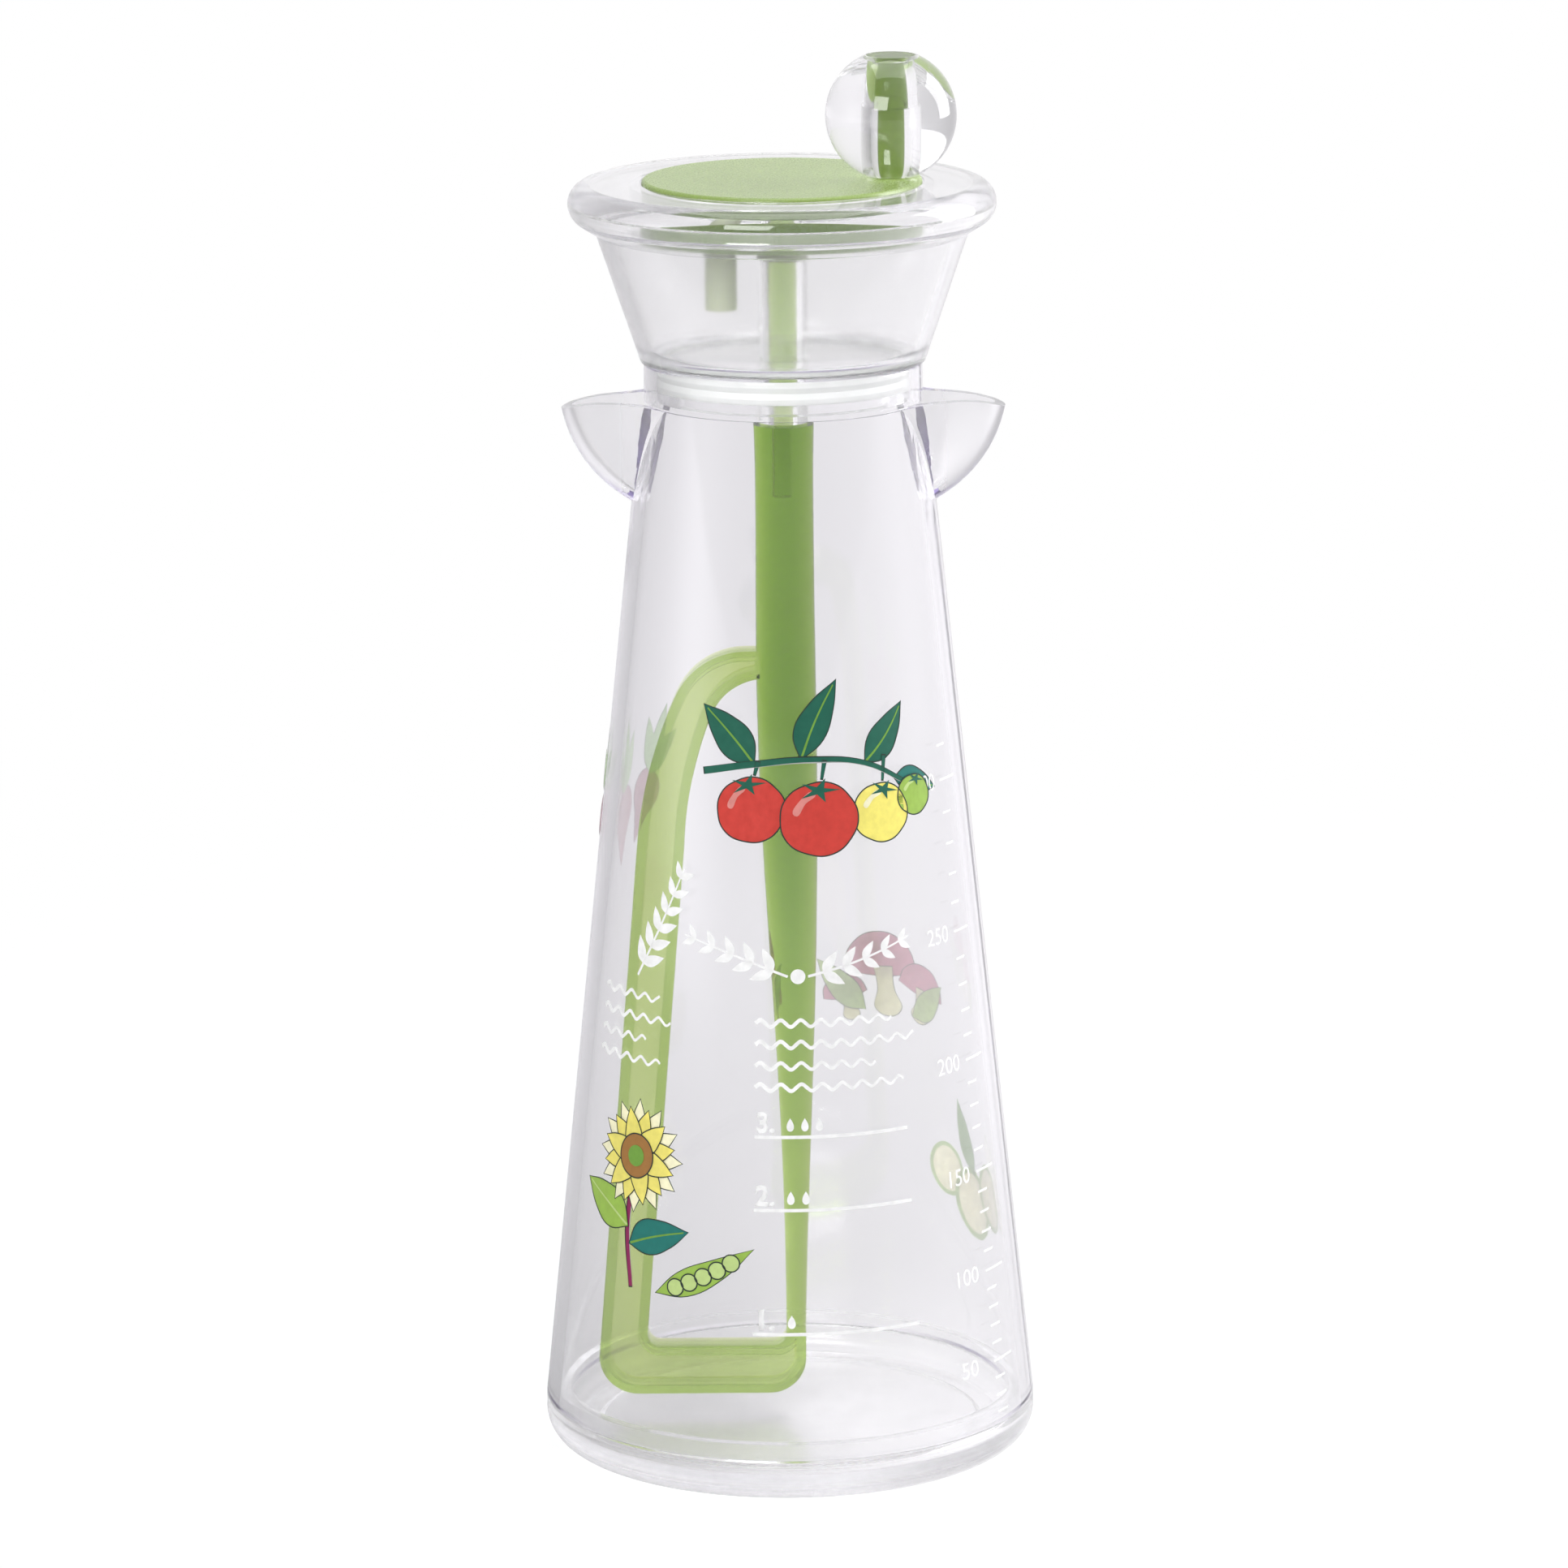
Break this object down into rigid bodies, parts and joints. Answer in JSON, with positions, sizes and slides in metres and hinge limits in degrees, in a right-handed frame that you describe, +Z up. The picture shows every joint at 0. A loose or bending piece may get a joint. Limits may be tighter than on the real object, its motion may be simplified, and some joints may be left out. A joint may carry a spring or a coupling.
{
  "type": "dressing mixer bottle",
  "caption": "Clear tapered dressing bottle with opposed pouring lips; a crank disc with a ball knob in its lid turns a shaft and a green loop paddle inside to stir the dressing.",
  "frame": {"origin": "middle of the ring the bottle stands on", "axes": "+Z up the bottle and crank axis, +X towards one pouring lip and the crank's knob at rest, -X towards the paddle's loop"},
  "size_m": [0.075, 0.075, 0.2135],
  "materials": {
    "clear_plastic": "polished clear moulding",
    "green_plastic": "smooth yellow-green moulding",
    "satin_green_plastic": "satin pale green moulding",
    "milky_seal": "soft milky seal"
  },
  "bodies": {
    "bottle": {"bottle_body": "clear_plastic", "base_cap": "clear_plastic"},
    "lid": {"lid_cup": "clear_plastic", "lid_top_ring": "clear_plastic", "lid_gasket": "milky_seal"},
    "crank": {"crank_disc": "satin_green_plastic", "drive_shaft": "green_plastic", "mixing_paddle": "green_plastic", "knob_pin": "green_plastic"},
    "knob": {"knob_ball": "clear_plastic"}
  },
  "joints": [
    {"name": "lid_lift", "type": "slide", "parent": "bottle", "child": "lid", "axis": [0, 0, 1], "range_m": [0, 0.03]},
    {"name": "crank_spin", "type": "hinge", "parent": "lid", "child": "crank", "pos_m": [0, 0, 0.1952], "axis": [0, 0, 1], "continuous": true},
    {"name": "knob_spin", "type": "hinge", "parent": "crank", "child": "knob", "pos_m": [0.0163, 0, 0.2045], "axis": [0, 0, 1], "continuous": true}
  ]
}
